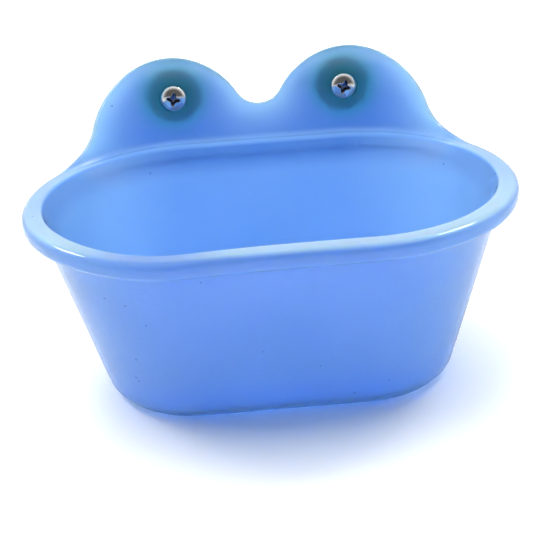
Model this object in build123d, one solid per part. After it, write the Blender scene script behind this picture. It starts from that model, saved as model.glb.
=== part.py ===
from build123d import *
import math
import os

# Seed cup for a bird cage. X runs along the cup, Y from the front to the cage, Z up.
# The origin is the middle of the flat base, and every size is in millimetres.

# Rim and bowl
rim_length = 116.0
rim_depth = 77.0
rim_height = 49.0
rim_width = 4.0
rim_band = 4.5
rim_top_round = 1.8
rim_under_round = 1.4
lip_round = 1.0
wall = 1.8
floor_thickness = 2.0
draft_angle = 14.0
base_edge_round = 5.0

# Twin-lobed back plate, which grows out of the back of the rim
plate_thickness = 2.5
plate_edge_round = 0.6
lobe_radius = 20.4
lobe_spacing = 46.8
lobe_rise = 2.4
valley_radius = 6.5
shoulder_radius = 12.0
shoulder_sink = 0.3

# Bolt places in the plate: a flat pad behind and a flat seat in front
bolt_spacing = 44.6
bolt_rise = 12.4
bolt_hole = 3.2
pad_margin = 0.8
pad_depth = 1.8
seat_margin = 0.4

# Pan-head screw
thread_diameter = 3.0
screw_length = 30.0
screw_point = 0.5
head_diameter = 6.8
head_height = 2.3
head_side = 0.9
recess_length = 3.9
recess_width = 1.0
recess_depth = 1.2

# Clamp washer
washer_diameter = 14.5
washer_thickness = 2.0
washer_round = 0.5
loose_clearance = 0.2

# Wing nut with a steel nut in a pocket in its outer end
hub_diameter = 9.6
hub_top_diameter = 8.6
hub_height = 8.5
wing_thickness = 2.6
wing_width = 4.6
wing_reach = 8.8
wing_root = 2.4
wing_root_height = 3.2
wing_tip_height = 7.0
wing_round = 0.7
nut_across_flats = 5.5
nut_height = 2.4
pocket_clearance = 0.05
running_clearance = 0.05

# Sizes that follow from the ones above
slope = math.tan(math.radians(draft_angle))
wall_across = wall / math.cos(math.radians(draft_angle))
base_inset = rim_width + (rim_height - rim_band) * slope
cavity_inset = base_inset - floor_thickness * slope + wall_across
plate_back = rim_depth / 2
plate_front = plate_back - plate_thickness
bolt_height = rim_height + bolt_rise
washer_back = plate_back + washer_thickness
hub_back = washer_back + hub_height
pocket_floor = hub_back - nut_height

match_tolerance = 0.01
SIDES = {"left": -1, "right": 1}
ON_END = (Align.CENTER, Align.CENTER, Align.MIN)


def stadium(inset):
    """Plan of the cup, drawn in from the rim's outer edge by inset."""
    return SlotOverall(rim_length - 2 * inset, rim_depth - 2 * inset)


def on_bolt(side, y):
    """Place on one bolt's axis at depth y, with the local Z axis pointing to the cage."""
    return Pos(side * bolt_spacing / 2, y, bolt_height) * Rot(X=-90)


def rod(side, diameter, y_from, y_to):
    """Round bar on one bolt's axis between two depths."""
    bar = Cylinder(diameter / 2, y_to - y_from, align=ON_END)
    return on_bolt(side, y_from) * bar


def towards(start, end, distance):
    """Point at a distance from start on the line to end."""
    return start + (end - start).normalized() * distance


def make_bowl():
    """Drafted tub with a rounded base edge and a thick rounded rim."""
    tub = extrude(stadium(base_inset), amount=rim_height - rim_band / 2, taper=-draft_angle)
    tub = fillet(tub.edges().group_by(Axis.Z)[0], base_edge_round)
    band = Pos(Z=rim_height - rim_band) * extrude(stadium(0), amount=rim_band)
    band = fillet(band.edges().group_by(Axis.Z)[-1], rim_top_round)
    band = fillet(band.edges().group_by(Axis.Z)[0], rim_under_round)
    cavity = extrude(stadium(cavity_inset), amount=rim_height - floor_thickness, taper=-draft_angle)
    cavity = fillet(cavity.edges().group_by(Axis.Z)[0], base_edge_round - wall)
    bowl = tub + band - Pos(Z=floor_thickness) * cavity
    top = bowl.faces().sort_by(Axis.Z)[-1]
    return fillet(top.inner_wires()[0].edges(), lip_round)


def plate_outline():
    """Front view of the plate: two lobes, a valley between them and a hollow shoulder each side."""
    foot = rim_height - rim_band / 2
    shelf = rim_height - shoulder_sink
    lobe = Vector(lobe_spacing / 2, rim_height + lobe_rise)
    valley = Vector(0, lobe.Y + math.sqrt((lobe_radius + valley_radius) ** 2 - lobe.X ** 2))
    shoulder_rise = shelf + shoulder_radius - lobe.Y
    shoulder_run = math.sqrt((lobe_radius + shoulder_radius) ** 2 - shoulder_rise ** 2)
    shoulder = lobe + Vector(shoulder_run, shoulder_rise)
    valley_floor = valley - Vector(0, valley_radius)
    shoulder_foot = shoulder - Vector(0, shoulder_radius)
    inner = towards(lobe, valley, lobe_radius)
    crown = lobe + Vector(0, lobe_radius)
    outer = towards(lobe, shoulder, lobe_radius)
    valley_side = towards(valley, (valley_floor + inner) / 2, valley_radius)
    shoulder_side = towards(shoulder, (shoulder_foot + outer) / 2, shoulder_radius)
    half = [
        ThreePointArc(valley_floor, valley_side, inner),
        ThreePointArc(inner, crown, outer),
        ThreePointArc(outer, shoulder_side, shoulder_foot),
        Polyline(shoulder_foot, (shoulder_foot.X, foot), (0, foot), valley_floor),
    ]
    face = make_face(Curve() + half)
    return Plane.XZ * (face + mirror(face, about=Plane.YZ))


def crest_edges(plate, inset):
    """Edges along the plate's top, on the side that lies at inset from the rim's outer edge."""
    core = (rim_length - rim_depth) / 2

    def on_side(edge):
        middle = edge @ 0.5
        reach = math.hypot(max(abs(middle.X) - core, 0), middle.Y)
        on_wall = math.isclose(reach, rim_depth / 2 - inset, abs_tol=match_tolerance)
        return on_wall and middle.Z > rim_height

    return plate.edges().filter_by(GeomType.LINE, reverse=True).filter_by(on_side)


def make_plate():
    """Upright band that follows the back of the rim, cut to the lobed outline."""
    ring = extrude(stadium(0) - stadium(plate_thickness), amount=rim_band + lobe_rise + lobe_radius)
    plate = Pos(Z=rim_height - rim_band) * ring & extrude(plate_outline(), amount=-rim_depth)
    plate = fillet(crest_edges(plate, 0), rim_top_round)
    return fillet(crest_edges(plate, plate_thickness), plate_edge_round)


def make_cup_shell():
    """The single moulding: bowl, rim and plate, with the bolt pads, seats and holes."""
    shell = make_bowl() + make_plate()
    for side in SIDES.values():
        shell += rod(side, washer_diameter + 2 * pad_margin, plate_back - pad_depth, plate_back)
        shell -= rod(side, head_diameter + 2 * seat_margin, plate_front - head_height, plate_front)
        shell -= rod(side, bolt_hole, plate_front, plate_back)
    return shell


def make_screw(side):
    """Pan-head machine screw with a cross recess, its head in front of the plate."""
    shank = thread_diameter / 2
    head = head_diameter / 2
    point = shank - screw_point
    half = [
        Polyline((0, -head_height), (0, screw_length), (point, screw_length)),
        Polyline((point, screw_length), (shank, screw_length - screw_point), (shank, 0)),
        Polyline((shank, 0), (head, 0), (head, -head_side)),
        EllipticalCenterArc((0, -head_side), head, head_height - head_side, 270, arc_size=90),
    ]
    profile = make_face(Curve() + half)
    screw = revolve(Plane.XZ * profile, Axis.Z)
    for turn in (0, 90):
        slot = Box(recess_length, recess_width, 2 * recess_depth)
        screw -= Pos(Z=-head_height) * Rot(Z=turn) * slot
    return on_bolt(side, plate_front) * screw


def make_washer(side):
    """Flat plastic disc that presses the cage wires against the plate."""
    disc = rod(side, washer_diameter, plate_back, washer_back)
    disc = fillet(disc.edges(), washer_round)
    return disc - rod(side, thread_diameter + 2 * loose_clearance, plate_back, washer_back)


def make_wing_nut(side):
    """Tapered hub with two raised wings and a hexagonal pocket in its outer end."""
    body = Cone(hub_diameter / 2, hub_top_diameter / 2, hub_height, align=ON_END)
    root = Vector(wing_root, wing_root_height)
    tip = Vector(wing_reach, wing_tip_height)
    blade = SlotCenterPoint((root + tip) / 2, tip, wing_width)
    wing = extrude(Plane.XZ * blade, amount=wing_thickness / 2, both=True)
    wing = fillet(wing.edges(), wing_round)
    for turn in (0, 180):
        body += Rot(Z=turn) * wing
    flats = nut_across_flats / 2 + pocket_clearance
    pocket = extrude(RegularPolygon(flats, 6, major_radius=False), amount=nut_height)
    body -= Pos(Z=hub_height - nut_height) * pocket
    body -= Cylinder(thread_diameter / 2 + loose_clearance, hub_height, align=ON_END)
    return on_bolt(side, washer_back) * body


def make_nut_insert(side):
    """Steel hexagon nut that carries the thread, flush with the hub's outer end."""
    hexagon = extrude(RegularPolygon(nut_across_flats / 2, 6, major_radius=False), amount=nut_height)
    bore = Cylinder(thread_diameter / 2 + running_clearance, nut_height, align=ON_END)
    return on_bolt(side, pocket_floor) * (hexagon - bore)


def main():
    os.makedirs("parts", exist_ok=True)
    nodes = {"cup_shell": make_cup_shell()}
    for name, side in SIDES.items():
        nodes[name + "_screw"] = make_screw(side)
        nodes[name + "_clamp_washer"] = make_washer(side)
        nodes[name + "_wing_nut"] = make_wing_nut(side)
        nodes[name + "_nut_insert"] = make_nut_insert(side)
    for name, solid in nodes.items():
        solid.label = name
        export_step(solid, "parts/" + name + ".step")
        print(name, len(solid.solids()), round(solid.volume, 2))


main()
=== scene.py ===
import logging
import math
from collections.abc import Callable
from dataclasses import dataclass
from enum import Enum
from functools import partial

import bmesh
import bpy
from bpy.types import Material, Mesh, Node, NodeSocket, NodeTree, Object, World
from mathutils import Matrix, Vector


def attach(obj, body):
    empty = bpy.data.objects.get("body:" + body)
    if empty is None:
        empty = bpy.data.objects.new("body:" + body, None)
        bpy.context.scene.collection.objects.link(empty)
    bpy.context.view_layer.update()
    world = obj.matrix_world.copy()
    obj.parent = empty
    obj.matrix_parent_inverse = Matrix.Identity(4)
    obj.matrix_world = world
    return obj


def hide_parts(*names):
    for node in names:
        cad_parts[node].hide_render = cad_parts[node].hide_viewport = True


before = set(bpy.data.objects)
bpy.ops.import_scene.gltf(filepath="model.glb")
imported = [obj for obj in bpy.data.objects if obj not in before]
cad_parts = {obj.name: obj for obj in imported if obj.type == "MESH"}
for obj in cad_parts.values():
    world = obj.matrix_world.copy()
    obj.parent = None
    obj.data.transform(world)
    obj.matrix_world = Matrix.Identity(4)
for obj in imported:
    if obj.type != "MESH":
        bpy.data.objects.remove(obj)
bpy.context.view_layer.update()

# Lengths are in metres, in the frame of the solids: X along the cup, Y to the cage, Z up.
LOG = logging.getLogger("seed_cup")
MM = 0.001
Pair = tuple[float, float]
Triple = tuple[float, float, float]
Colour = tuple[float, float, float, float]
Feed = NodeSocket | float | Triple | Colour
Inputs = dict[str | int, Feed]
Masks = dict[str, NodeSocket]


class Side(Enum):
    """Which of the two bolts a piece belongs to."""

    LEFT = -1
    RIGHT = 1

    @property
    def word(self) -> str:
        """Name of the side as the nodes use it."""
        return self.name.lower()


class Tooling(Enum):
    """What a tool does to the shape that it meets, by Blender's word for it."""

    ADD = "UNION"
    CUT = "DIFFERENCE"


class Graph:
    """Adds and links the nodes of one node tree."""

    def __init__(self, tree: NodeTree) -> None:
        """Wraps the shader or geometry tree that the nodes go into."""
        self.tree = tree

    def feed(self, node: Node, inputs: Inputs) -> None:
        """Sets or links inputs of a node.

        Args:
            node: the node.
            inputs: socket name or index to a value or to a socket that feeds it.
        """
        for name, value in inputs.items():
            if isinstance(value, NodeSocket):
                self.tree.links.new(value, node.inputs[name])
            else:
                node.inputs[name].default_value = value

    def add(self, kind: str, inputs: Inputs | None = None, **settings: object) -> Node:
        """Adds one node.

        Args:
            kind: the node's Blender type.
            inputs: socket name or index to a value or to a socket that feeds it.
            settings: attributes of the node itself.

        Returns:
            The new node.
        """
        node = self.tree.nodes.new(kind)
        for name, value in settings.items():
            setattr(node, name, value)
        self.feed(node, inputs or {})
        return node

    def attribute(self, name: str) -> NodeSocket:
        """Adds an Attribute node and returns its value."""
        return self.add("ShaderNodeAttribute", attribute_name=name).outputs["Fac"]

    def noise(self, vector: NodeSocket, scale: Feed, detail: float, waver: float = 0.0) -> NodeSocket:
        """Adds a Noise Texture node and returns its value."""
        inputs = {"Vector": vector, "Scale": scale, "Detail": detail, "Distortion": waver}
        return self.add("ShaderNodeTexNoise", inputs).outputs[0]

    def math(self, operation: str, first: Feed, second: Feed = 0.0, clamp: bool = False) -> NodeSocket:
        """Adds a Math node and returns its output."""
        node = self.add("ShaderNodeMath", {0: first, 1: second}, operation=operation, use_clamp=clamp)
        return node.outputs[0]

    def mix_colour(self, factor: Feed, first: Feed, second: Feed) -> NodeSocket:
        """Adds a colour Mix node and returns its output."""
        node = self.add("ShaderNodeMix", {0: factor, 6: first, 7: second}, data_type="RGBA")
        return node.outputs[2]

    def tint(self, colour: Feed, mask: NodeSocket, share: float, second: Feed) -> NodeSocket:
        """Mixes a second colour in where a mask is, at a share of the mask's strength."""
        return self.mix_colour(self.math("MULTIPLY", mask, share), colour, second)

    def remap(self, value: NodeSocket, span: Pair, onto: Pair = (0.0, 1.0)) -> NodeSocket:
        """Adds a clamped Map Range node and returns its output."""
        inputs = {0: value, 1: span[0], 2: span[1], 3: onto[0], 4: onto[1]}
        return self.add("ShaderNodeMapRange", inputs, clamp=True).outputs[0]


def fresh_graph(owner: Material | World) -> Graph:
    """Turns on the nodes of a material or a world and empties its tree.

    Args:
        owner: the material or the world.

    Returns:
        The graph of its tree.
    """
    owner.use_nodes = True
    owner.node_tree.nodes.clear()
    return Graph(owner.node_tree)


def new_group(name: str, inputs: tuple[str, ...], outputs: tuple[str, ...]) -> tuple[Graph, Masks, Node]:
    """Starts a shader node group that works on a Vector.

    Args:
        name: the group's name.
        inputs: names of its other inputs, all numbers.
        outputs: names of its outputs, all numbers.

    Returns:
        The group's graph, the sockets of its inputs by name and its output node.
    """
    tree = bpy.data.node_groups.new(name, "ShaderNodeTree")
    tree.interface.new_socket("Vector", in_out="INPUT", socket_type="NodeSocketVector")
    for label in inputs:
        tree.interface.new_socket(label, in_out="INPUT", socket_type="NodeSocketFloat")
    for label in outputs:
        tree.interface.new_socket(label, in_out="OUTPUT", socket_type="NodeSocketFloat")
    graph = Graph(tree)
    given = {socket.name: socket for socket in graph.add("NodeGroupInput").outputs}
    return graph, given, graph.add("NodeGroupOutput")


@dataclass(frozen=True)
class MouldingEffect:
    """Shared effect: soft tone, gloss and surface height of a moulded or plated surface."""

    cloud_detail: float = 2.0
    grain_detail: float = 3.0
    cloud_span: Pair = (0.3, 0.7)
    grain_span: Pair = (0.35, 0.65)
    cloud_share: float = 0.6
    grain_share: float = 0.4

    def build(self) -> NodeTree:
        """Builds the group.

        Returns:
            A group with Tone, Gloss and Height over the surface.
        """
        inputs = ("Cloud Scale", "Grain Scale")
        graph, given, end = new_group("moulding", inputs, ("Tone", "Gloss", "Height"))
        cloud = graph.noise(given["Vector"], given["Cloud Scale"], self.cloud_detail)
        grain = graph.noise(given["Vector"], given["Grain Scale"], self.grain_detail)
        broad = graph.math("MULTIPLY", cloud, self.cloud_share)
        fine = graph.math("MULTIPLY", grain, self.grain_share)
        graph.feed(end, {
            "Tone": graph.remap(cloud, self.cloud_span),
            "Gloss": graph.remap(grain, self.grain_span),
            "Height": graph.math("ADD", broad, fine),
        })
        return graph.tree


@dataclass(frozen=True)
class SpeckEffect:
    """Shared effect: sparse specks and short hairline scuffs of a handled surface."""

    bare_share: float = 0.72
    detail: float = 1.0
    noise_middle: float = 0.5
    scuff_turn: Triple = (0.5, 0.9, 0.3)
    scuff_stretch: Triple = (0.12, 1.0, 1.0)
    scuff_waver: float = 0.4
    scuff_width: float = 0.012
    patch_scale: float = 90.0
    patch_span: Pair = (0.58, 0.7)

    def build(self) -> NodeTree:
        """Builds the group.

        Returns:
            A group with a Speck mask and a Scuff mask.
        """
        inputs = ("Speck Scale", "Speck Size", "Scuff Scale")
        graph, given, end = new_group("specks_and_scuffs", inputs, ("Speck", "Scuff"))
        vector = given["Vector"]
        cells = graph.add("ShaderNodeTexVoronoi", {"Vector": vector, "Scale": given["Speck Scale"]})
        drawn = graph.add("ShaderNodeSeparateColor", {0: cells.outputs["Color"]}).outputs[0]
        chosen = graph.math("GREATER_THAN", drawn, self.bare_share)
        dot = graph.math("LESS_THAN", cells.outputs["Distance"], given["Speck Size"])
        mapping = {"Vector": vector, "Rotation": self.scuff_turn, "Scale": self.scuff_stretch}
        turned = graph.add("ShaderNodeMapping", mapping).outputs[0]
        lines = graph.noise(turned, given["Scuff Scale"], self.detail, self.scuff_waver)
        ridge = graph.math("ABSOLUTE", graph.math("SUBTRACT", lines, self.noise_middle))
        where = graph.remap(graph.noise(vector, self.patch_scale, self.detail), self.patch_span)
        scuff = graph.math("MULTIPLY", graph.remap(ridge, (0.0, self.scuff_width), (1.0, 0.0)), where)
        graph.feed(end, {"Speck": graph.math("MULTIPLY", chosen, dot), "Scuff": scuff})
        return graph.tree


@dataclass(frozen=True)
class Texture:
    """Scales of the shared effects in one finish, and how far they dull and raise its surface."""

    cloud: float
    grain: float
    speck: float
    speck_size: float
    scuff: float
    scuff_dull: float
    bump: float
    bump_depth: float


@dataclass(frozen=True)
class Finish:
    """What all finishes share: the effects lie on the surface and feed the shader."""

    name: str
    texture: Texture
    roughness: Pair

    def colour(self, graph: Graph, masks: Masks) -> NodeSocket:
        """Mixes the colour over the surface, each kind of finish in its own way."""
        raise NotImplementedError

    def constants(self) -> Inputs:
        """Shader socket to a value that is the same all over the surface."""
        raise NotImplementedError

    def material(self, moulding: NodeTree, specks: NodeTree) -> Material:
        """Builds the finish.

        Args:
            moulding: the shared moulded surface group.
            specks: the shared specks and scuffs group.

        Returns:
            The material.
        """
        material = bpy.data.materials.new(self.name)
        graph = fresh_graph(material)
        shader = graph.add("ShaderNodeBsdfPrincipled")
        graph.add("ShaderNodeOutputMaterial", {"Surface": shader.outputs[0]})
        place = graph.add("ShaderNodeTexCoord").outputs["Object"]
        look = self.texture
        clouds = {"Cloud Scale": look.cloud, "Grain Scale": look.grain}
        surface = graph.add("ShaderNodeGroup", {"Vector": place, **clouds}, node_tree=moulding)
        flecks = {"Speck Scale": look.speck, "Speck Size": look.speck_size, "Scuff Scale": look.scuff}
        marks = graph.add("ShaderNodeGroup", {"Vector": place, **flecks}, node_tree=specks)
        masks = {socket.name: socket for node in (surface, marks) for socket in node.outputs}
        rough = graph.remap(masks["Gloss"], (0.0, 1.0), self.roughness)
        if look.scuff_dull > 0.0:
            dulled = graph.math("MULTIPLY", masks["Scuff"], look.scuff_dull)
            rough = graph.math("ADD", rough, dulled, clamp=True)
        raised = {"Strength": look.bump, "Distance": look.bump_depth, "Height": masks["Height"]}
        normal = graph.add("ShaderNodeBump", raised).outputs[0]
        colour = self.colour(graph, masks)
        graph.feed(shader, {"Base Color": colour, "Roughness": rough, "Normal": normal, **self.constants()})
        return material


@dataclass(frozen=True)
class MilkyPlastic(Finish):
    """Translucent milky plastic that light passes into, paler where it is thick; paler edges and rim and
    darker shade are painted into its colour.
    """

    body: Colour
    # The next four colours are painted: glow at the edges and rim, shade, the clamps' green-tinted shadow,
    # and light near the base.
    edge: Colour
    deep: Colour
    cast: Colour
    foot: Colour
    speck: Colour
    speck_share: float
    tone_share: float
    tone_saturation: float
    tone_value: float
    scatter: Triple
    scatter_depth: float
    clearness: float
    ior: float
    coat_roughness: float

    def colour(self, graph: Graph, masks: Masks) -> NodeSocket:
        """Mixes the painted shade, the clamps' painted shadow, painted light near the base and painted edge
        glow into the body, then cloudy tone and specks.

        Args:
            graph: the material's graph.
            masks: the shared effects by name.

        Returns:
            The colour over the surface.
        """
        # Painted light and shade, each by the mark that the cup's mesh holds.
        painted_light_and_shade = {
            "core_shade": self.deep,
            "painted_clamp_shadow": self.cast,
            "painted_foot_light": self.foot,
            "edge_glow": self.edge,
        }
        colour = self.body
        for name, second in painted_light_and_shade.items():
            colour = graph.mix_colour(graph.attribute(name), colour, second)
        deeper = {"Saturation": self.tone_saturation, "Value": self.tone_value, "Color": colour}
        toned = graph.add("ShaderNodeHueSaturation", deeper).outputs[0]
        colour = graph.tint(colour, masks["Tone"], self.tone_share, toned)
        return graph.tint(colour, masks["Speck"], self.speck_share, self.speck)

    def constants(self) -> Inputs:
        """Milky scatter under a clear, glossy skin."""
        return {
            "Subsurface Weight": 1.0,
            "Subsurface Radius": self.scatter,
            "Subsurface Scale": self.scatter_depth,
            "IOR": self.ior,
            "Transmission Weight": self.clearness,
            "Coat Weight": 1.0,
            "Coat Roughness": self.coat_roughness,
        }


@dataclass(frozen=True)
class TintedPlastic(Finish):
    """Coloured moulded plastic that lets a little light into it, with a soft gloss."""

    body: Colour
    worn: Colour
    tone_share: float
    scuff_share: float
    scatter: Triple
    scatter_depth: float
    ior: float

    def colour(self, graph: Graph, masks: Masks) -> NodeSocket:
        """Lightens the body in cloudy patches and along scuffs."""
        colour = graph.tint(self.body, masks["Tone"], self.tone_share, self.worn)
        return graph.tint(colour, masks["Scuff"], self.scuff_share, self.worn)

    def constants(self) -> Inputs:
        """Shallow scatter under the surface."""
        return {
            "Subsurface Weight": 1.0,
            "Subsurface Radius": self.scatter,
            "Subsurface Scale": self.scatter_depth,
            "IOR": self.ior,
        }


@dataclass(frozen=True)
class PlatedSteel(Finish):
    """Plated steel with fine variations in its brightness and polish, and painted shade in its recess."""

    bright: Colour
    dull: Colour
    # Colour of the painted shade in the recess, and its share.
    recess_shade: Colour
    tone_share: float = 0.6
    speck_share: float = 0.5
    recess_shade_share: float = 0.92

    def colour(self, graph: Graph, masks: Masks) -> NodeSocket:
        """Dulls the plating in patches and specks, and darkens it with painted shade in the recess.

        Args:
            graph: the material's graph.
            masks: the shared effects by name.

        Returns:
            The colour over the surface.
        """
        colour = graph.tint(self.bright, masks["Tone"], self.tone_share, self.dull)
        colour = graph.tint(colour, masks["Speck"], self.speck_share, self.dull)
        # Painted shade in the recess, by the mark that the screw's mesh holds.
        return graph.tint(colour, graph.attribute("recess_shade"), self.recess_shade_share, self.recess_shade)

    def constants(self) -> Inputs:
        """Bare metal all over."""
        return {"Metallic": 1.0}


STEEL_TEXTURE = Texture(
    cloud=420.0, grain=2600.0, speck=900.0, speck_size=0.08,
    scuff=900.0, scuff_dull=0.2, bump=0.08, bump_depth=0.05 * MM,
)
CUP_BLUE = MilkyPlastic(
    name="cup_blue",
    texture=Texture(
        cloud=60.0, grain=900.0, speck=240.0, speck_size=0.075,
        scuff=260.0, scuff_dull=0.25, bump=0.02, bump_depth=0.2 * MM,
    ),
    roughness=(0.72, 0.82),
    body=(0.215, 0.465, 0.86, 1.0),
    # Painted glow, painted shade, the clamps' painted green-tinted shadow and painted light near the base.
    edge=(0.66, 1.0, 1.0, 1.0),
    deep=(0.03, 0.15, 0.58, 1.0),
    cast=(0.0, 0.34, 0.45, 1.0),
    foot=(0.17, 0.45, 1.0, 1.0),
    speck=(0.05, 0.14, 0.45, 1.0),
    speck_share=0.7,
    tone_share=0.5,
    tone_saturation=1.06,
    tone_value=0.94,
    scatter=(0.6, 0.8, 1.0),
    scatter_depth=2.5 * MM,
    clearness=0.68,
    ior=1.49,
    coat_roughness=0.05,
)
CLAMP_GREEN = TintedPlastic(
    name="clamp_green",
    texture=Texture(
        cloud=180.0, grain=1600.0, speck=300.0, speck_size=0.05,
        scuff=500.0, scuff_dull=0.0, bump=0.15, bump_depth=0.2 * MM,
    ),
    roughness=(0.28, 0.42),
    body=(0.012, 0.42, 0.20, 1.0),
    worn=(0.030, 0.48, 0.25, 1.0),
    tone_share=0.35,
    scuff_share=0.5,
    scatter=(0.1, 1.0, 0.3),
    scatter_depth=1.5 * MM,
    ior=1.5,
)
BOLT_STEEL = PlatedSteel(
    name="bolt_steel",
    texture=STEEL_TEXTURE,
    roughness=(0.10, 0.2),
    bright=(0.80, 0.79, 0.76, 1.0),
    dull=(0.62, 0.61, 0.58, 1.0),
    # Painted shade in the recess.
    recess_shade=(0.05, 0.07, 0.14, 1.0),
)
NUT_STEEL = PlatedSteel(
    name="nut_steel",
    texture=STEEL_TEXTURE,
    roughness=(0.25, 0.4),
    bright=(0.60, 0.60, 0.57, 1.0),
    dull=(0.42, 0.42, 0.40, 1.0),
    # Painted shade for a recess.
    recess_shade=(0.04, 0.04, 0.04, 1.0),
)


def smooth_step(value: float, low: float, high: float) -> float:
    """Smooth ramp from 0 at low to 1 at high."""
    share = min(max((value - low) / (high - low), 0.0), 1.0)
    return share * share * (3.0 - 2.0 * share)


def quarter_turn(steps: int) -> list[float]:
    """Angles of a quarter turn at even steps, both ends included."""
    return [math.pi / 2 * step / steps for step in range(steps + 1)]


def arc(centre: Pair, radius: float, start: float, end: float, steps: int) -> list[Pair]:
    """Points of a circular arc in a section, both ends included.

    Args:
        centre: inset and height of the centre.
        radius: the arc's radius.
        start: first angle in degrees.
        end: last angle in degrees.
        steps: number of spans.

    Returns:
        Inset and height of each point.
    """
    angles = [math.radians(start + (end - start) * step / steps) for step in range(steps + 1)]
    return [(centre[0] + radius * math.cos(a), centre[1] + radius * math.sin(a)) for a in angles]


def between(first: Pair, last: Pair, steps: int) -> list[Pair]:
    """Points strictly between two section points, evenly spaced."""
    shares = [step / steps for step in range(1, steps)]
    return [(first[0] + (last[0] - first[0]) * s, first[1] + (last[1] - first[1]) * s) for s in shares]


def closed_mesh(work: bmesh.types.BMesh, name: str) -> Mesh:
    """Turns the faces of a closed work mesh outwards, keeps it and frees the work mesh.

    Args:
        work: the work mesh.
        name: the new mesh's name.

    Returns:
        The new mesh.
    """
    bmesh.ops.recalc_face_normals(work, faces=work.faces)
    mesh = bpy.data.meshes.new(name)
    work.to_mesh(mesh)
    work.free()
    return mesh


def lathed(profile: list[Pair], facets: int) -> Mesh:
    """Closed solid of revolution about the Z axis.

    Args:
        profile: radius and height of each point, the first and last on the axis.
        facets: number of sides.

    Returns:
        The new mesh, its faces outward.
    """
    work = bmesh.new()
    angles = [math.tau * step / facets for step in range(facets)]
    rings = []
    for radius, height in profile:
        if radius == 0.0:
            rings.append([work.verts.new((0, 0, height))] * facets)
            continue
        rings.append([work.verts.new((radius * math.cos(a), radius * math.sin(a), height)) for a in angles])
    for near, far in zip(rings, rings[1:]):
        for index in range(facets):
            after = (index + 1) % facets
            corners = [near[index], near[after], far[after], far[index]]
            work.faces.new(list(dict.fromkeys(corners)))
    return closed_mesh(work, "lathed")


def joined(meshes: list[Mesh]) -> Mesh:
    """Puts several closed meshes into one and removes the several.

    Args:
        meshes: the meshes.

    Returns:
        The mesh that holds them all.
    """
    work = bmesh.new()
    for mesh in meshes:
        work.from_mesh(mesh)
        bpy.data.meshes.remove(mesh)
    return closed_mesh(work, "joined")


def scratch_object(mesh: Mesh) -> Object:
    """Links a mesh as a short-lived object that modifiers can work on.

    Args:
        mesh: the mesh.

    Returns:
        The object.
    """
    scratch = bpy.data.objects.new("scratch", mesh)
    bpy.context.scene.collection.objects.link(scratch)
    return scratch


def add_boolean(scratch: Object, tooling: Tooling, tool: Object) -> None:
    """Adds an exact boolean to a scratch object.

    Args:
        scratch: the object that is worked on.
        tooling: whether the tool is added or cut away.
        tool: the object that does it.
    """
    step = scratch.modifiers.new(tooling.name.lower(), "BOOLEAN")
    step.operation = tooling.value
    step.solver = "EXACT"
    step.object = tool


def baked(scratch: Object, name: str) -> Mesh:
    """Plain mesh of an object with its modifiers applied; the object itself is removed.

    Args:
        scratch: the object to evaluate.
        name: the new mesh's name.

    Returns:
        The evaluated mesh.
    """
    bpy.context.view_layer.update()
    graph = bpy.context.evaluated_depsgraph_get()
    mesh = bpy.data.meshes.new_from_object(scratch.evaluated_get(graph))
    mesh.name = name
    scratch.modifiers.clear()
    bpy.data.objects.remove(scratch)
    return mesh


def mark(mesh: Mesh, name: str, measure: Callable[[Vector], float]) -> None:
    """Keeps a measure of each point as an attribute that a material reads."""
    values = [measure(vert.co) for vert in mesh.vertices]
    mesh.attributes.new(name, "FLOAT", "POINT").data.foreach_set("value", values)


def new_piece(name: str, mesh: Mesh, material: Material) -> Object:
    """Links a finished mesh as a piece at the origin.

    Args:
        name: the piece's name.
        mesh: its mesh, already in place.
        material: its one material.

    Returns:
        The new object.
    """
    mesh.materials.clear()
    mesh.materials.append(material)
    mesh.polygons.foreach_set("material_index", [0] * len(mesh.polygons))
    piece = bpy.data.objects.new(name, mesh)
    bpy.context.scene.collection.objects.link(piece)
    return piece


def smooth(mesh: Mesh, sharp_degrees: float) -> None:
    """Shades a mesh smoothly, but for edges that bend by more than an angle."""
    mesh.polygons.foreach_set("use_smooth", [True] * len(mesh.polygons))
    mesh.set_sharp_from_angle(angle=math.radians(sharp_degrees))


@dataclass(frozen=True)
class BoltPlaces:
    """Where the two bolts pass through the plate."""

    spacing: float = 44.6 * MM
    height: float = 61.4 * MM

    def place(self, side: Side, y: float) -> Matrix:
        """Puts a mesh on one bolt's axis, its Z axis pointing to the cage from depth y."""
        spot = Matrix.Translation((side.value * self.spacing / 2, y, self.height))
        return spot @ Matrix.Rotation(math.radians(-90), 4, "X")


BOLTS = BoltPlaces()


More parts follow.
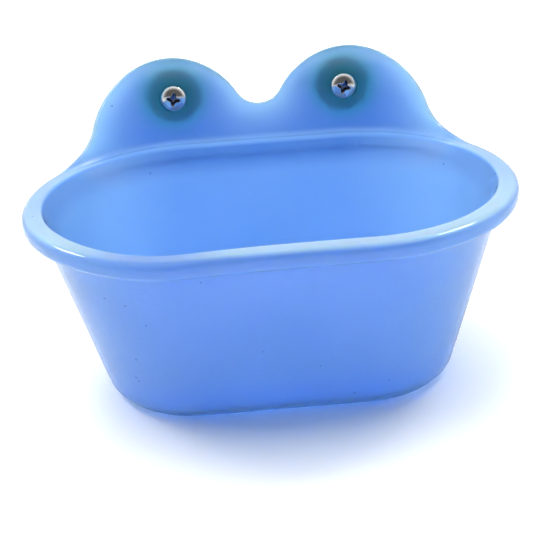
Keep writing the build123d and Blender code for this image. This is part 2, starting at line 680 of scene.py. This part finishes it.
@dataclass
class CupShell:
    """The blue moulding: a section swept round a stadium-shaped plan, its back raised into a plate."""

    # Rim and bowl
    rim_length: float = 116.0 * MM
    rim_depth: float = 77.0 * MM
    rim_height: float = 49.0 * MM
    rim_width: float = 4.0 * MM
    rim_band: float = 4.5 * MM
    rim_top_round: float = 1.8 * MM
    rim_under_round: float = 1.9 * MM
    rim_under_hollow: float = 2.1 * MM
    lip_round: float = 0.8 * MM
    wall: float = 1.8 * MM
    floor: float = 2.0 * MM
    draft_degrees: float = 14.0
    base_round: float = 5.0 * MM

    # Twin-lobed plate
    plate: float = 2.5 * MM
    plate_edge_round: float = 0.6 * MM
    plate_foot_hollow: float = 1.3 * MM
    plate_lean: float = 0.05 * MM
    lobe_radius: float = 20.4 * MM
    lobe_reach: float = 23.4 * MM
    lobe_rise: float = 2.4 * MM
    valley_radius: float = 6.5 * MM
    shoulder_radius: float = 12.0 * MM
    shoulder_sink: float = 0.3 * MM

    # Bolt places, a hair inside the solids so that nothing shares a face with the hardware
    pad_radius: float = 8.05 * MM
    pad_depth: float = 1.8 * MM
    pad_proud: float = 0.02 * MM
    seat_radius: float = 3.8 * MM
    hole_radius: float = 1.6 * MM
    touch_gap: float = 0.04 * MM

    # Sag of the front lip; spans are shares of the rim's depth and height
    dip_place: float = -27.0 * MM
    dip_width: float = 16.0 * MM
    dip_depth: float = 0.7 * MM
    dip_front: Pair = (0.2, 0.4)
    dip_low: float = 0.6

    # Painted glow where the plastic gathers light; glow_search is in reaches
    glow_reach: float = 5.0 * MM
    glow_search: float = 3.0
    plate_glow: float = 0.58
    rim_glow: float = 0.42
    front_glow: float = 1.0
    ledge_glow: float = 0.08
    end_glow: float = 0.3
    dim_reach: float = 9.0 * MM

    # Painted shade where less light reaches it; shade_end_span is in halves of the plan's straight part
    shade_drop: float = 4.0 * MM
    shade_reach: float = 5.0 * MM
    shade_most: float = 0.72
    shade_band: float = 0.76
    shade_end: float = 0.6
    shade_end_span: Pair = (1.4, 2.4)

    # Painted shadow of the clamps, tinted green, round the bolts; painted light that makes the blue purer
    # near the base
    cast_full: float = 3.2 * MM
    cast_reach: float = 12.0 * MM
    cast_lift: float = 0.7 * MM
    foot_light_reach: float = 15.0 * MM

    # Fineness of the mesh
    stations: int = 640
    bolt_facets: int = 96
    round_steps: int = 6
    bend_steps: int = 8
    ease_steps: int = 4
    fillet_steps: int = 5
    bowl_steps: int = 12
    ledge_steps: int = 2
    face_steps: int = 14
    skirt_steps: int = 18
    sharp_degrees: float = 50.0

    @property
    def core(self) -> float:
        """Half the straight part of the plan."""
        return (self.rim_length - self.rim_depth) / 2

    @property
    def lean(self) -> float:
        """Cosine of the wall's draft, which turns a thickness into an inset."""
        return math.cos(math.radians(self.draft_degrees))

    def plate_rise(self, x: float) -> float:
        """Height of the plate's outline above the rim at a place along the cup.

        Args:
            x: distance from the cup's middle plane.

        Returns:
            The rise, 0 where there is no plate.
        """
        across = abs(x)
        lobe_z = self.lobe_rise
        valley_z = lobe_z + math.sqrt((self.lobe_radius + self.valley_radius) ** 2 - self.lobe_reach ** 2)
        inner = self.lobe_reach * self.valley_radius / (self.lobe_radius + self.valley_radius)
        shoulder_z = self.shoulder_radius - self.shoulder_sink
        both = self.lobe_radius + self.shoulder_radius
        shoulder_x = self.lobe_reach + math.sqrt(both ** 2 - (shoulder_z - lobe_z) ** 2)
        outer = self.lobe_reach + (shoulder_x - self.lobe_reach) * self.lobe_radius / both
        if across < inner:
            return valley_z - math.sqrt(self.valley_radius ** 2 - across ** 2)
        if across < outer:
            return lobe_z + math.sqrt(self.lobe_radius ** 2 - (across - self.lobe_reach) ** 2)
        if across < shoulder_x:
            return max(shoulder_z - math.sqrt(self.shoulder_radius ** 2 - (across - shoulder_x) ** 2), 0.0)
        return 0.0

    def outer_inset(self, z: float) -> float:
        """Inset of the outer wall from the rim's edge at a height."""
        slope = math.tan(math.radians(self.draft_degrees))
        return self.rim_width + (self.rim_height - self.rim_band - z) * slope

    def inner_inset(self, z: float) -> float:
        """Inset of the inner wall from the rim's edge at a height."""
        return self.outer_inset(z) + self.wall / self.lean

    def section(self, rise: float) -> list[Pair]:
        """Closed section through the wall where the plate rises by a given height.

        Args:
            rise: the plate's height above the rim, 0 at the front.

        Returns:
            Inset and height of each point, from the inner floor over the rim to the underside.
        """
        tilt = self.draft_degrees
        top = self.rim_height
        crest = top + rise

        inside = self.base_round - self.wall
        hollow_z = self.floor + inside
        hollow = (self.inner_inset(hollow_z) + inside / self.lean, hollow_z)
        lip_z = top - self.lip_round
        lip = (self.inner_inset(lip_z) - self.lip_round / self.lean, lip_z)
        foot = arc(hollow, inside, -90, tilt - 180, self.round_steps)
        lip_arc = arc(lip, self.lip_round, tilt, 90, self.round_steps)
        shaded_z = top - self.shade_drop - self.shade_reach
        shaded = (self.inner_inset(shaded_z), shaded_z)
        bowl = foot + between(foot[-1], shaded, self.bowl_steps) + [shaded]
        bowl += between(shaded, lip_arc[0], self.bowl_steps) + lip_arc

        share = min(1.0, rise / (self.plate_foot_hollow + self.plate_edge_round))
        front = self.plate + self.plate_lean
        rear = self.plate - self.plate_lean - self.plate_edge_round
        bend, ease = self.plate_foot_hollow, self.plate_edge_round
        foot_hollow, front_round = [], []
        for angle in quarter_turn(self.ease_steps):
            cosine, sine = math.cos(angle), math.sin(angle)
            foot_hollow.append((front + bend * (1 - sine), top + bend * (1 - cosine) * share))
            front_round.append((rear + ease * cosine, crest - ease * (1 - sine) * share))
        back = (self.rim_top_round, crest - self.rim_top_round)
        back_round = arc(back, self.rim_top_round, 90, 180, self.bend_steps)
        face = between(foot_hollow[-1], front_round[0], self.face_steps)
        plate = between(lip_arc[-1], foot_hollow[0], self.ledge_steps) + foot_hollow + face
        plate += front_round + back_round

        under_z = top - self.rim_band
        under = (self.rim_under_round, under_z + self.rim_under_round)
        under_arc = arc(under, self.rim_under_round, 180, 270, self.round_steps)
        low = under_z - self.rim_under_hollow
        start, corner = (self.rim_width - self.rim_under_hollow, under_z), (self.rim_width, under_z)
        controls = list(zip(start, corner, (self.outer_inset(low), low)))
        fillet = [
            tuple((1 - s) ** 2 * a + 2 * s * (1 - s) * b + s ** 2 * c for a, b, c in controls)
            for s in (step / self.fillet_steps for step in range(self.fillet_steps + 1))
        ]
        base = (self.outer_inset(self.base_round) + self.base_round / self.lean, self.base_round)
        base_arc = arc(base, self.base_round, 180 + tilt, 270, self.bend_steps)
        outside = between(back_round[-1], under_arc[0], self.face_steps) + under_arc + fillet
        outside += between(fillet[-1], base_arc[0], self.skirt_steps) + base_arc

        return bowl + plate + outside

    def station(self, share: float) -> tuple[float, Vector]:
        """Place on the plan's core line and the direction out of it.

        Args:
            share: how far round the plan, from 0 to 1, starting in the middle of the front.

        Returns:
            The core point's x and the outward direction.
        """
        radius = self.rim_depth / 2
        bend = math.pi * radius
        along = share * (4 * self.core + 2 * bend)
        if along < self.core:
            return along, Vector((0, -1))
        along -= self.core
        if along < bend:
            angle = along / radius - math.pi / 2
            return self.core, Vector((math.cos(angle), math.sin(angle)))
        along -= bend
        if along < 2 * self.core:
            return self.core - along, Vector((0, 1))
        along -= 2 * self.core
        if along < bend:
            angle = along / radius + math.pi / 2
            return -self.core, Vector((math.cos(angle), math.sin(angle)))
        return along - bend - self.core, Vector((0, -1))

    def wrapped(self, x: float, y: float) -> float:
        """Distance of a point along the plate from its middle, measured round the back of the rim.

        Args:
            x: place along the cup.
            y: place towards the cage.

        Returns:
            The distance, negative on the left.
        """
        beyond = abs(x) - self.core
        if beyond <= 0.0:
            return x
        return math.copysign(self.core + self.rim_depth / 2 * math.atan2(beyond, y), x)

    def outline(self) -> list[Pair]:
        """Follows the whole outline of the plate at even steps.

        Returns:
            Distance along the plate and rise of each point.
        """
        middle = (self.rim_depth - self.plate) / 2
        points = []
        for index in range(-self.stations // 4, self.stations // 4 + 1):
            core_x, out = self.station(0.5 + index / self.stations)
            x = core_x + out.x * middle
            points.append((self.wrapped(x, out.y * middle), self.plate_rise(x)))
        return points

    def inset(self, spot: Vector) -> float:
        """Distance of a point inside the rim's outer edge, seen from above."""
        return self.rim_depth / 2 - math.hypot(max(abs(spot.x) - self.core, 0.0), spot.y)

    def in_bowl(self, spot: Vector) -> bool:
        """Whether a point lies on the bowl's side of the wall."""
        return self.inset(spot) > self.outer_inset(spot.z) + self.wall / 2

    def rise_behind(self, spot: Vector) -> float:
        """Height of the plate above the rim at a point, 0 in the front half."""
        return self.plate_rise(spot.x) if spot.y > 0.0 else 0.0

    def bolt_gap(self, spot: Vector) -> float:
        """Distance of a point from the nearer bolt's axis."""
        return math.hypot(abs(spot.x) - BOLTS.spacing / 2, spot.z - BOLTS.height)

    def edge_glow(self, outline: list[Pair], spot: Vector) -> float:
        """How much painted glow a point gets where the plastic gathers light: the plate near its outline,
        and the top of the rim.

        Args:
            outline: the plate's outline.
            spot: the point.

        Returns:
            A share from 0 to 1.
        """
        along = self.wrapped(spot.x, spot.y)
        rise = self.rise_behind(spot)
        level = spot.z - self.rim_height
        fade = self.rim_depth / 3
        built = smooth_step(rise, 0.0, self.glow_reach)
        inside = self.inset(spot) > self.plate
        front = smooth_step(-spot.y, 0.0, fade)
        bare = (self.rim_glow + (self.front_glow - self.rim_glow) * front) * (1.0 - built)
        bare += self.ledge_glow * built if inside else 0.0
        rim = bare * smooth_step(level, -self.lip_round, 0.0)
        if inside and level < -self.lip_round and self.in_bowl(spot):
            return self.end_glow * smooth_step(abs(spot.x), self.core, self.core + fade)
        if level <= 0.0 or rise == 0.0:
            return rim
        rim *= 1.0 - smooth_step(level, 0.0, self.plate_foot_hollow)
        search = self.glow_search * self.glow_reach
        gap = min(
            math.hypot(place - along, top - level)
            for place, top in outline
            if abs(place - along) < search
        )
        dimmed = math.exp(-((self.bolt_gap(spot) / self.dim_reach) ** 2))
        return max(self.plate_glow * math.exp(-gap / self.glow_reach) * built * (1.0 - dimmed), rim)

    def core_shade(self, spot: Vector) -> float:
        """How much painted shade a point gets where less light reaches it: the inner wall just below the
        thick rim, and the plate.

        Args:
            spot: the point.

        Returns:
            A share from 0 to 1.
        """
        level = spot.z - self.rim_height
        if level > -self.lip_round:
            ends = smooth_step(abs(spot.x), *(share * self.core for share in self.shade_end_span))
            most = self.shade_most * (1.0 - self.shade_end * ends)
            built = smooth_step(self.rise_behind(spot), 0.0, self.shade_reach)
            return most * built * smooth_step(level, 0.0, self.plate_foot_hollow)
        if not self.in_bowl(spot):
            return 0.0
        under = smooth_step(level, -self.shade_drop - self.shade_reach, -self.shade_drop) * self.shade_most
        behind_rim = smooth_step(level, -self.rim_band - self.lip_round, -self.rim_band + self.lip_round)
        return under + (self.shade_band - self.shade_most) * behind_rim

    def painted_clamp_shadow(self, spot: Vector) -> float:
        """How much of the clamps' painted green-tinted shadow the plate shows round a bolt."""
        gap = self.bolt_gap(spot - Vector((0.0, 0.0, self.cast_lift)))
        return 1.0 - smooth_step(gap, self.cast_full, self.cast_reach) if spot.y > 0.0 else 0.0

    def painted_foot_light(self, spot: Vector) -> float:
        """How much painted light makes the blue purer near the base, where light comes up from below."""
        return 1.0 - smooth_step(spot.z, 0.0, self.foot_light_reach)

    def lip_dip(self, x: float, y: float, z: float) -> float:
        """How far the front lip sags below level at one point, as the soft moulding has warped.

        Args:
            x: place along the cup.
            y: place towards the cage.
            z: height.

        Returns:
            The sag, 0 away from the lip's left front.
        """
        spread = math.exp(-(((x - self.dip_place) / self.dip_width) ** 2))
        front = smooth_step(-y, *(share * self.rim_depth for share in self.dip_front))
        high = smooth_step(z, self.dip_low * self.rim_height, self.rim_height)
        return self.dip_depth * spread * front * high

    def swept(self) -> Mesh:
        """Sweeps the section round the plan and closes the floor inside and underneath.

        Returns:
            The plain moulding, with no bolt places.
        """
        work = bmesh.new()
        path = [self.station(index / self.stations) for index in range(self.stations)]
        middle = (self.rim_depth - self.plate) / 2
        back = self.rim_depth / 2 - self.touch_gap - self.pad_proud
        rings = []
        for core_x, out in path:
            rise = self.plate_rise(core_x + out.x * middle) if out.y > 0 else 0.0
            ring = []
            for inset, z in self.section(rise):
                reach = self.rim_depth / 2 - inset
                x, y = core_x + out.x * reach, min(out.y * reach, back)
                ring.append(work.verts.new((x, y, z - self.lip_dip(x, y, z))))
            rings.append(ring)
        for near, far in zip(rings, rings[1:] + rings[:1]):
            for corners in zip(near, near[1:], far[1:], far):
                work.faces.new(corners)
        work.faces.new([ring[0] for ring in rings])
        work.faces.new([ring[-1] for ring in reversed(rings)])
        return closed_mesh(work, "swept")

    def fitted(self, mesh: Mesh) -> Mesh:
        """Adds a flat pad behind each bolt and cuts its seat and hole.

        The bores are turned by half a facet, so that no edge of theirs meets an edge of a pad.

        Args:
            mesh: the plain moulding.

        Returns:
            The moulding with its bolt places.
        """
        back = self.rim_depth / 2 - self.touch_gap
        seat = self.rim_depth / 2 - self.plate + self.touch_gap
        pad = [(0.0, -self.pad_depth), (self.pad_radius, -self.pad_depth)]
        pad += [(self.pad_radius, 0.0), (0.0, 0.0)]
        bore = [(0.0, -self.plate), (self.seat_radius, -self.plate), (self.seat_radius, 0.0)]
        bore += [(self.hole_radius, 0.0), (self.hole_radius, 2 * self.plate), (0.0, 2 * self.plate)]
        half_step = math.pi / self.bolt_facets
        steps = ((Tooling.ADD, pad, back, 0.0), (Tooling.CUT, bore, seat, half_step))
        moulding = scratch_object(mesh)
        tools = []
        for tooling, profile, depth, turn in steps:
            shapes = [lathed(profile, self.bolt_facets) for _ in Side]
            for side, shape in zip(Side, shapes):
                shape.transform(BOLTS.place(side, depth) @ Matrix.Rotation(turn, 4, "Z"))
            tools.append(scratch_object(joined(shapes)))
            add_boolean(moulding, tooling, tools[-1])
        whole = baked(moulding, "cup_moulding")
        for tool in tools:
            bpy.data.objects.remove(tool)
        return whole

    def build(self, material: Material) -> Object:
        """Makes the moulding and marks on it where painted glow and painted shade go, the clamps' painted
        shadow and painted light near the base.

        Args:
            material: the cup's plastic.

        Returns:
            The cup, riding on its body in place of the node.
        """
        mesh = self.fitted(self.swept())
        # Marks for the painted glow, shade, clamp shadow and light near the base.
        measures = {
            "edge_glow": partial(self.edge_glow, self.outline()),
            "core_shade": self.core_shade,
            "painted_clamp_shadow": self.painted_clamp_shadow,
            "painted_foot_light": self.painted_foot_light,
        }
        for name, measure in measures.items():
            mark(mesh, name, measure)
        smooth(mesh, self.sharp_degrees)
        piece = new_piece("cup_moulding", mesh, material)
        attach(piece, "cup")
        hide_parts("cup_shell")
        LOG.info("cup_moulding: %d faces", len(mesh.polygons))
        return piece


@dataclass
class BoltSet:
    """One pan-head screw with its thread, and the clamp washer, wing nut and steel nut on it."""

    side: Side
    turn_degrees: float

    # Screw
    seat: float = 36.0 * MM
    length: float = 30.0 * MM
    point: float = 0.5 * MM
    head_radius: float = 3.4 * MM
    head_height: float = 2.3 * MM
    head_side: float = 0.75 * MM
    head_edge: float = 0.25 * MM
    edge_ease: float = 0.06 * MM
    sharp_degrees: float = 40.0

    # Cross recess; recess_ease is a share of its half width
    recess_reach: float = 1.95 * MM
    recess_half: float = 0.38 * MM
    recess_ease: float = 0.5
    recess_throat: float = 0.85 * MM
    recess_root: float = 0.62 * MM
    recess_depth: float = 1.6 * MM
    recess_taper: float = 0.62

    # Painted shade in the recess, darker deeper down; its margin and full depth below are shares of its
    # reach and depth
    recess_shade_margin: float = 1.1
    recess_shade_from: float = 0.08 * MM
    recess_shade_full: float = 0.5

    # Thread
    thread_radius: float = 1.5 * MM
    core_radius: float = 1.22 * MM
    thread_pitch: float = 0.5 * MM
    thread_start: float = 1.0 * MM

    # Fineness of the mesh
    facets: int = 72
    crown_steps: int = 14
    ease_steps: int = 2

    @property
    def place(self) -> Matrix:
        """Turns a mesh whose Z axis runs along the bolt, head below zero, into its place."""
        return BOLTS.place(self.side, self.seat) @ Matrix.Rotation(math.radians(self.turn_degrees), 4, "Z")

    @property
    def dome(self) -> float:
        """Height of the rounded part of the head."""
        return self.head_height - self.head_side

    def lathe_profile(self) -> list[Pair]:
        """Follows the screw's outline from the crown of its head to its point.

        Returns:
            Radius and depth of each point.
        """
        crown = [
            (self.head_radius * math.sin(a), -self.head_side - self.dome * math.cos(a))
            for a in quarter_turn(self.crown_steps)
        ]
        rim = [(self.head_radius, -self.head_edge), (self.head_radius - self.head_edge, 0.0)]
        shank = [(self.core_radius, 0.0), (self.core_radius, self.length - self.point)]
        return crown + rim + shank + [(self.core_radius - self.point, self.length), (0.0, self.length)]

    def recess_cutter(self) -> Mesh:
        """Shapes the tapered cross with eased inner corners that cuts the driver recess.

        Returns:
            The cutter, standing on the crown of the head.
        """
        ease = self.recess_half * self.recess_ease
        arm = [
            (self.recess_throat, -self.recess_root),
            (self.recess_reach - ease, -self.recess_half),
            (self.recess_reach, -ease),
            (self.recess_reach, ease),
            (self.recess_reach - ease, self.recess_half),
            (self.recess_throat, self.recess_root),
        ]
        turns = [Matrix.Rotation(math.pi / 2 * quarter, 2) for quarter in range(4)]
        outline = [turn @ Vector(corner) for turn in turns for corner in arm]
        ends = ((2 - self.recess_taper, -self.recess_depth), (self.recess_taper, self.recess_depth))
        work = bmesh.new()
        upper, lower = (
            [work.verts.new((p.x * scale, p.y * scale, z - self.head_height)) for p in outline]
            for scale, z in ends
        )
        for index in range(len(outline)):
            after = (index + 1) % len(outline)
            work.faces.new((upper[index], upper[after], lower[after], lower[index]))
        work.faces.new(upper)
        work.faces.new(lower)
        return closed_mesh(work, "recess_cutter")

    def recess_shade_amount(self, spot: Vector) -> float:
        """How much painted shade a point of the blank gets, by how deep it lies below the head's dome.

        Args:
            spot: the point.

        Returns:
            A share of the recess, from 0 to 1.
        """
        out = min(math.hypot(spot.x, spot.y) / self.head_radius, 1.0)
        if out > self.recess_reach * self.recess_shade_margin / self.head_radius or spot.z > 0.0:
            return 0.0
        top = -self.head_side - self.dome * math.sqrt(1.0 - out * out)
        return smooth_step(spot.z - top, self.recess_shade_from, self.recess_shade_full * self.recess_depth)

    def build_screw(self, material: Material) -> Object:
        """Cuts the recess, eases its edges and places the screw.

        Args:
            material: the screw's plating.

        Returns:
            The screw, riding on the cup in place of its node.
        """
        blank = scratch_object(lathed(self.lathe_profile(), self.facets))
        cutter = scratch_object(self.recess_cutter())
        add_boolean(blank, Tooling.CUT, cutter)
        ease = blank.modifiers.new("ease", "BEVEL")
        ease.width = self.edge_ease
        ease.segments = self.ease_steps
        ease.limit_method = "ANGLE"
        ease.angle_limit = math.radians(self.sharp_degrees)
        mesh = baked(blank, f"{self.side.word}_screw_body")
        bpy.data.objects.remove(cutter)
        # Painted shade in the driver recess, darker deeper down.
        mark(mesh, "recess_shade", self.recess_shade_amount)
        mesh.transform(self.place)
        smooth(mesh, self.sharp_degrees)
        piece = new_piece(f"{self.side.word}_screw_body", mesh, material)
        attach(piece, "cup")
        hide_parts(f"{self.side.word}_screw")
        LOG.info("%s: %d faces", piece.name, len(mesh.polygons))
        return piece

    def build_thread(self, tree: NodeTree, material: Material) -> Object:
        """Runs the thread tree and places the ridge on the screw's core.

        Args:
            tree: the thread's Geometry Nodes tree.
            material: the screw's plating.

        Returns:
            The thread, riding on the cup.
        """
        span = self.length - self.point - self.thread_start
        middle = (self.thread_radius + self.core_radius) / 2
        values = {
            "Radius": middle,
            "Length": span,
            "Turns": span / self.thread_pitch,
            "Ridge": self.thread_radius - middle,
            "Material": material,
        }
        scratch = scratch_object(bpy.data.meshes.new("thread_seed"))
        modifier = scratch.modifiers.new("thread", "NODES")
        modifier.node_group = tree
        for item in tree.interface.items_tree:
            if item.in_out == "INPUT" and item.name in values:
                modifier[item.identifier] = values[item.name]
        mesh = baked(scratch, f"{self.side.word}_screw_thread")
        mesh.transform(self.place @ Matrix.Translation((0, 0, self.thread_start)))
        mesh.polygons.foreach_set("use_smooth", [True] * len(mesh.polygons))
        piece = new_piece(f"{self.side.word}_screw_thread", mesh, material)
        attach(piece, "cup")
        LOG.info("%s: %d faces", piece.name, len(mesh.polygons))
        return piece

    def dress_nuts(self, green: Material, steel: Material) -> None:
        """Gives the washer, the wing nut and the steel nut their finishes.

        Args:
            green: the clamp plastic.
            steel: the nut's plating.
        """
        for node, material in (("clamp_washer", green), ("wing_nut", green), ("nut_insert", steel)):
            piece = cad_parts[f"{self.side.word}_{node}"]
            piece.data.materials.clear()
            piece.data.materials.append(material)
            LOG.info("%s: finish %s", piece.name, material.name)


def thread_tree(turn_steps: int = 24, ridge_sides: int = 4) -> NodeTree:
    """Geometry Nodes tree of a screw thread: a ridge swept along a spiral.

    Args:
        turn_steps: points in one turn of the spiral.
        ridge_sides: sides of the ridge's section.

    Returns:
        The tree, with Radius, Length, Turns, Ridge and Material inputs.
    """
    tree = bpy.data.node_groups.new("screw_thread", "GeometryNodeTree")
    tree.interface.new_socket("Geometry", in_out="INPUT", socket_type="NodeSocketGeometry")
    for name in ("Radius", "Length", "Turns", "Ridge"):
        tree.interface.new_socket(name, in_out="INPUT", socket_type="NodeSocketFloat")
    tree.interface.new_socket("Material", in_out="INPUT", socket_type="NodeSocketMaterial")
    tree.interface.new_socket("Geometry", in_out="OUTPUT", socket_type="NodeSocketGeometry")
    graph = Graph(tree)
    given = graph.add("NodeGroupInput").outputs
    winding = {
        "Resolution": turn_steps,
        "Rotations": given["Turns"],
        "Start Radius": given["Radius"],
        "End Radius": given["Radius"],
        "Height": given["Length"],
    }
    spiral = graph.add("GeometryNodeCurveSpiral", winding).outputs[0]
    circle = {"Resolution": ridge_sides, "Radius": given["Ridge"]}
    ridge = graph.add("GeometryNodeCurvePrimitiveCircle", circle).outputs["Curve"]
    sweep = {"Curve": spiral, "Profile Curve": ridge, "Fill Caps": True}
    swept = graph.add("GeometryNodeCurveToMesh", sweep).outputs[0]
    real = graph.add("GeometryNodeRealizeInstances", {"Geometry": swept}).outputs[0]
    dressed = graph.add("GeometryNodeSetMaterial", {"Geometry": real, "Material": given["Material"]})
    graph.add("NodeGroupOutput", {0: dressed.outputs[0]})
    return tree


@dataclass(frozen=True)
class Lamp:
    """A soft rectangular lamp. Gloss shows a mirrored one; a flagged one doesn't light the floor."""

    name: str
    spot: Triple
    size: Pair
    watts: float
    mirrored: bool = False
    flagged: bool = False

    def build(self, target: Vector) -> Object:
        """Hangs the lamp.

        Args:
            target: the point that it faces.

        Returns:
            The lamp.
        """
        data = bpy.data.lights.new(self.name, "AREA")
        data.shape = "RECTANGLE"
        data.size, data.size_y = self.size
        data.energy = self.watts
        lamp = bpy.data.objects.new(self.name, data)
        lamp.location = self.spot
        lamp.rotation_euler = (target - Vector(self.spot)).to_track_quat("-Z", "Y").to_euler()
        lamp.visible_camera = False
        lamp.visible_glossy = self.mirrored
        bpy.context.scene.collection.objects.link(lamp)
        return lamp


LAMPS = (
    Lamp("back", (0.0, 0.8, 0.28), (1.2, 0.45), 5.0),
    Lamp("top", (-0.15, 0.05, 0.8), (0.6, 0.5), 4.3),
    Lamp("left", (-0.5, 0.24, 0.6), (0.2, 0.2), 2.0, mirrored=True),
    Lamp("right", (0.44, 0.2, 0.66), (0.2, 0.2), 2.0, mirrored=True),
    Lamp("left_fill", (-0.6, 0.1, 0.15), (0.5, 0.3), 1.6, flagged=True),
    Lamp("right_fill", (0.6, 0.1, 0.15), (0.5, 0.3), 1.0, flagged=True),
    Lamp("front", (0.05, -0.32, 0.06), (0.5, 0.1), 0.78, flagged=True),
)


@dataclass
class Studio:
    """Pale floor, white surround, soft lamps and the camera."""

    # Camera
    yaw_degrees: float = -1.77
    pitch_degrees: float = 25.9
    roll_degrees: float = -3.82
    distance: float = 245.07 * MM
    target: Triple = (-1.24 * MM, 0.0, 26.67 * MM)
    focal_pixels: float = 1000.0
    image_pixels: float = 540.0
    sensor_width: float = 36.0
    clip_start: float = 0.01

    # Floor, which the camera sees lifted to white by painted light that grows away from the cup and fades
    # the outer part of its real shadow
    floor_size: float = 4.0
    floor_colour: Colour = (0.9, 0.9, 0.9, 1.0)
    lift_colour: Colour = (1.0, 0.99, 0.94, 1.0)
    lift_squeeze: Triple = (0.84, 1.0, 0.0)
    near_lift: float = 0.5
    near_span: Pair = (28.0 * MM, 58.0 * MM)
    far_span: Pair = (0.12, 0.5)

    # Surround, and the dim room that gloss shows in front of the cup
    surround_colour: Colour = (1.0, 1.0, 1.0, 1.0)
    surround: float = 0.20
    room: float = 0.12
    room_span: Pair = (-0.75, -0.25)

    def floor_material(self) -> Material:
        """Pale paint that the camera sees lifted to white away from the cup, by painted light that fades
        the outer part of the cup's real shadow.

        Returns:
            The material.
        """
        material = bpy.data.materials.new("floor_white")
        graph = fresh_graph(material)
        path = graph.add("ShaderNodeLightPath")
        paint = graph.add("ShaderNodeBsdfDiffuse", {"Color": self.floor_colour})
        place = graph.add("ShaderNodeTexCoord").outputs["Object"]
        squeezed = graph.add("ShaderNodeVectorMath", {0: place, 1: self.lift_squeeze}, operation="MULTIPLY")
        length = graph.add("ShaderNodeVectorMath", {0: squeezed.outputs[0]}, operation="LENGTH")
        away = length.outputs["Value"]
        # Painted light: none near the cup, growing away from it, so the cup's real shadow fades sooner.
        near = graph.remap(away, self.near_span, (0.0, self.near_lift))
        lifted = graph.math("ADD", near, graph.remap(away, self.far_span))
        strength = graph.math("MULTIPLY", path.outputs["Is Camera Ray"], lifted)
        lift = graph.add("ShaderNodeEmission", {"Color": self.lift_colour, "Strength": strength})
        both = graph.add("ShaderNodeAddShader", {0: paint.outputs[0], 1: lift.outputs[0]})
        graph.add("ShaderNodeOutputMaterial", {"Surface": both.outputs[0]})
        return material

    def build_floor(self) -> Object:
        """Lays a large pale floor that keeps the cup's shadow.

        Returns:
            The floor.
        """
        half = self.floor_size / 2
        corners = [(-half, -half, 0), (half, -half, 0), (half, half, 0), (-half, half, 0)]
        mesh = bpy.data.meshes.new("floor")
        mesh.from_pydata(corners, [], [(0, 1, 2, 3)])
        floor = bpy.data.objects.new("floor", mesh)
        floor.data.materials.append(self.floor_material())
        bpy.context.scene.collection.objects.link(floor)
        return floor

    def build_surround(self) -> None:
        """White world that lights softly and shows white to the eye, with a dim room in front to gloss."""
        world = bpy.data.worlds.new("surround")
        bpy.context.scene.world = world
        graph = fresh_graph(world)
        path = graph.add("ShaderNodeLightPath")
        seen = graph.math("MAXIMUM", path.outputs["Is Camera Ray"], path.outputs["Is Glossy Ray"])
        seen = graph.math("MAXIMUM", seen, path.outputs["Is Transmission Ray"])
        way = graph.add("ShaderNodeTexCoord").outputs["Generated"]
        across = graph.add("ShaderNodeSeparateXYZ", {0: way})
        room = graph.remap(across.outputs["Y"], self.room_span, (self.room, 1.0))
        shown = graph.math("MAXIMUM", room, graph.math("SUBTRACT", 1.0, path.outputs["Is Glossy Ray"]))
        mixed = graph.add("ShaderNodeMix", {0: seen, 2: self.surround, 3: shown}, data_type="FLOAT")
        light = {"Color": self.surround_colour, "Strength": mixed.outputs[0]}
        sky = graph.add("ShaderNodeBackground", light)
        graph.add("ShaderNodeOutputWorld", {"Surface": sky.outputs[0]})

    def build_lamps(self, floor: Object) -> None:
        """Hangs the lamps and keeps flagged light off the floor, so that it holds one clear shadow.

        Args:
            floor: the floor.
        """
        hung = [lamp.build(Vector(self.target)) for lamp in LAMPS]
        shield = bpy.data.collections.new("flagged")
        shield.objects.link(floor)
        shield.collection_objects[0].light_linking.link_state = "EXCLUDE"
        for lamp, light in zip(LAMPS, hung):
            if lamp.flagged:
                light.light_linking.receiver_collection = shield

    def build_camera(self) -> None:
        """Camera at the photograph's angle."""
        degrees = (self.yaw_degrees, self.pitch_degrees, self.roll_degrees)
        yaw, pitch, roll = (math.radians(angle) for angle in degrees)
        back = Vector((math.sin(yaw) * math.cos(pitch), -math.cos(yaw) * math.cos(pitch), math.sin(pitch)))
        level = Vector((math.cos(yaw), math.sin(yaw), 0.0))
        rise = back.cross(level)
        right = level * math.cos(roll) + rise * math.sin(roll)
        up = rise * math.cos(roll) - level * math.sin(roll)
        data = bpy.data.cameras.new("camera")
        data.sensor_width = self.sensor_width
        data.lens = data.sensor_width * self.focal_pixels / self.image_pixels
        data.clip_start = self.clip_start
        camera = bpy.data.objects.new("camera", data)
        camera.matrix_world = Matrix((right, up, back)).transposed().to_4x4()
        camera.location = Vector(self.target) + back * self.distance
        bpy.context.scene.collection.objects.link(camera)
        bpy.context.scene.camera = camera

    def build(self) -> None:
        """Sets the whole stage."""
        floor = self.build_floor()
        self.build_surround()
        self.build_lamps(floor)
        self.build_camera()
        bpy.context.scene.view_settings.view_transform = "Standard"


SCREW_TURNS = {Side.LEFT: 12.0, Side.RIGHT: 20.0}


def main() -> None:
    """Builds the cup, its bolts and the studio."""
    logging.basicConfig(level=logging.INFO)
    moulding = MouldingEffect().build()
    specks = SpeckEffect().build()
    finishes = (CUP_BLUE, CLAMP_GREEN, BOLT_STEEL, NUT_STEEL)
    blue, green, bolt, nut = (finish.material(moulding, specks) for finish in finishes)
    CupShell().build(blue)
    tree = thread_tree()
    for side, turn in SCREW_TURNS.items():
        bolts = BoltSet(side, turn)
        bolts.build_screw(bolt)
        bolts.build_thread(tree, bolt)
        bolts.dress_nuts(green, nut)
    Studio().build()


if __name__ == "__main__":
    main()
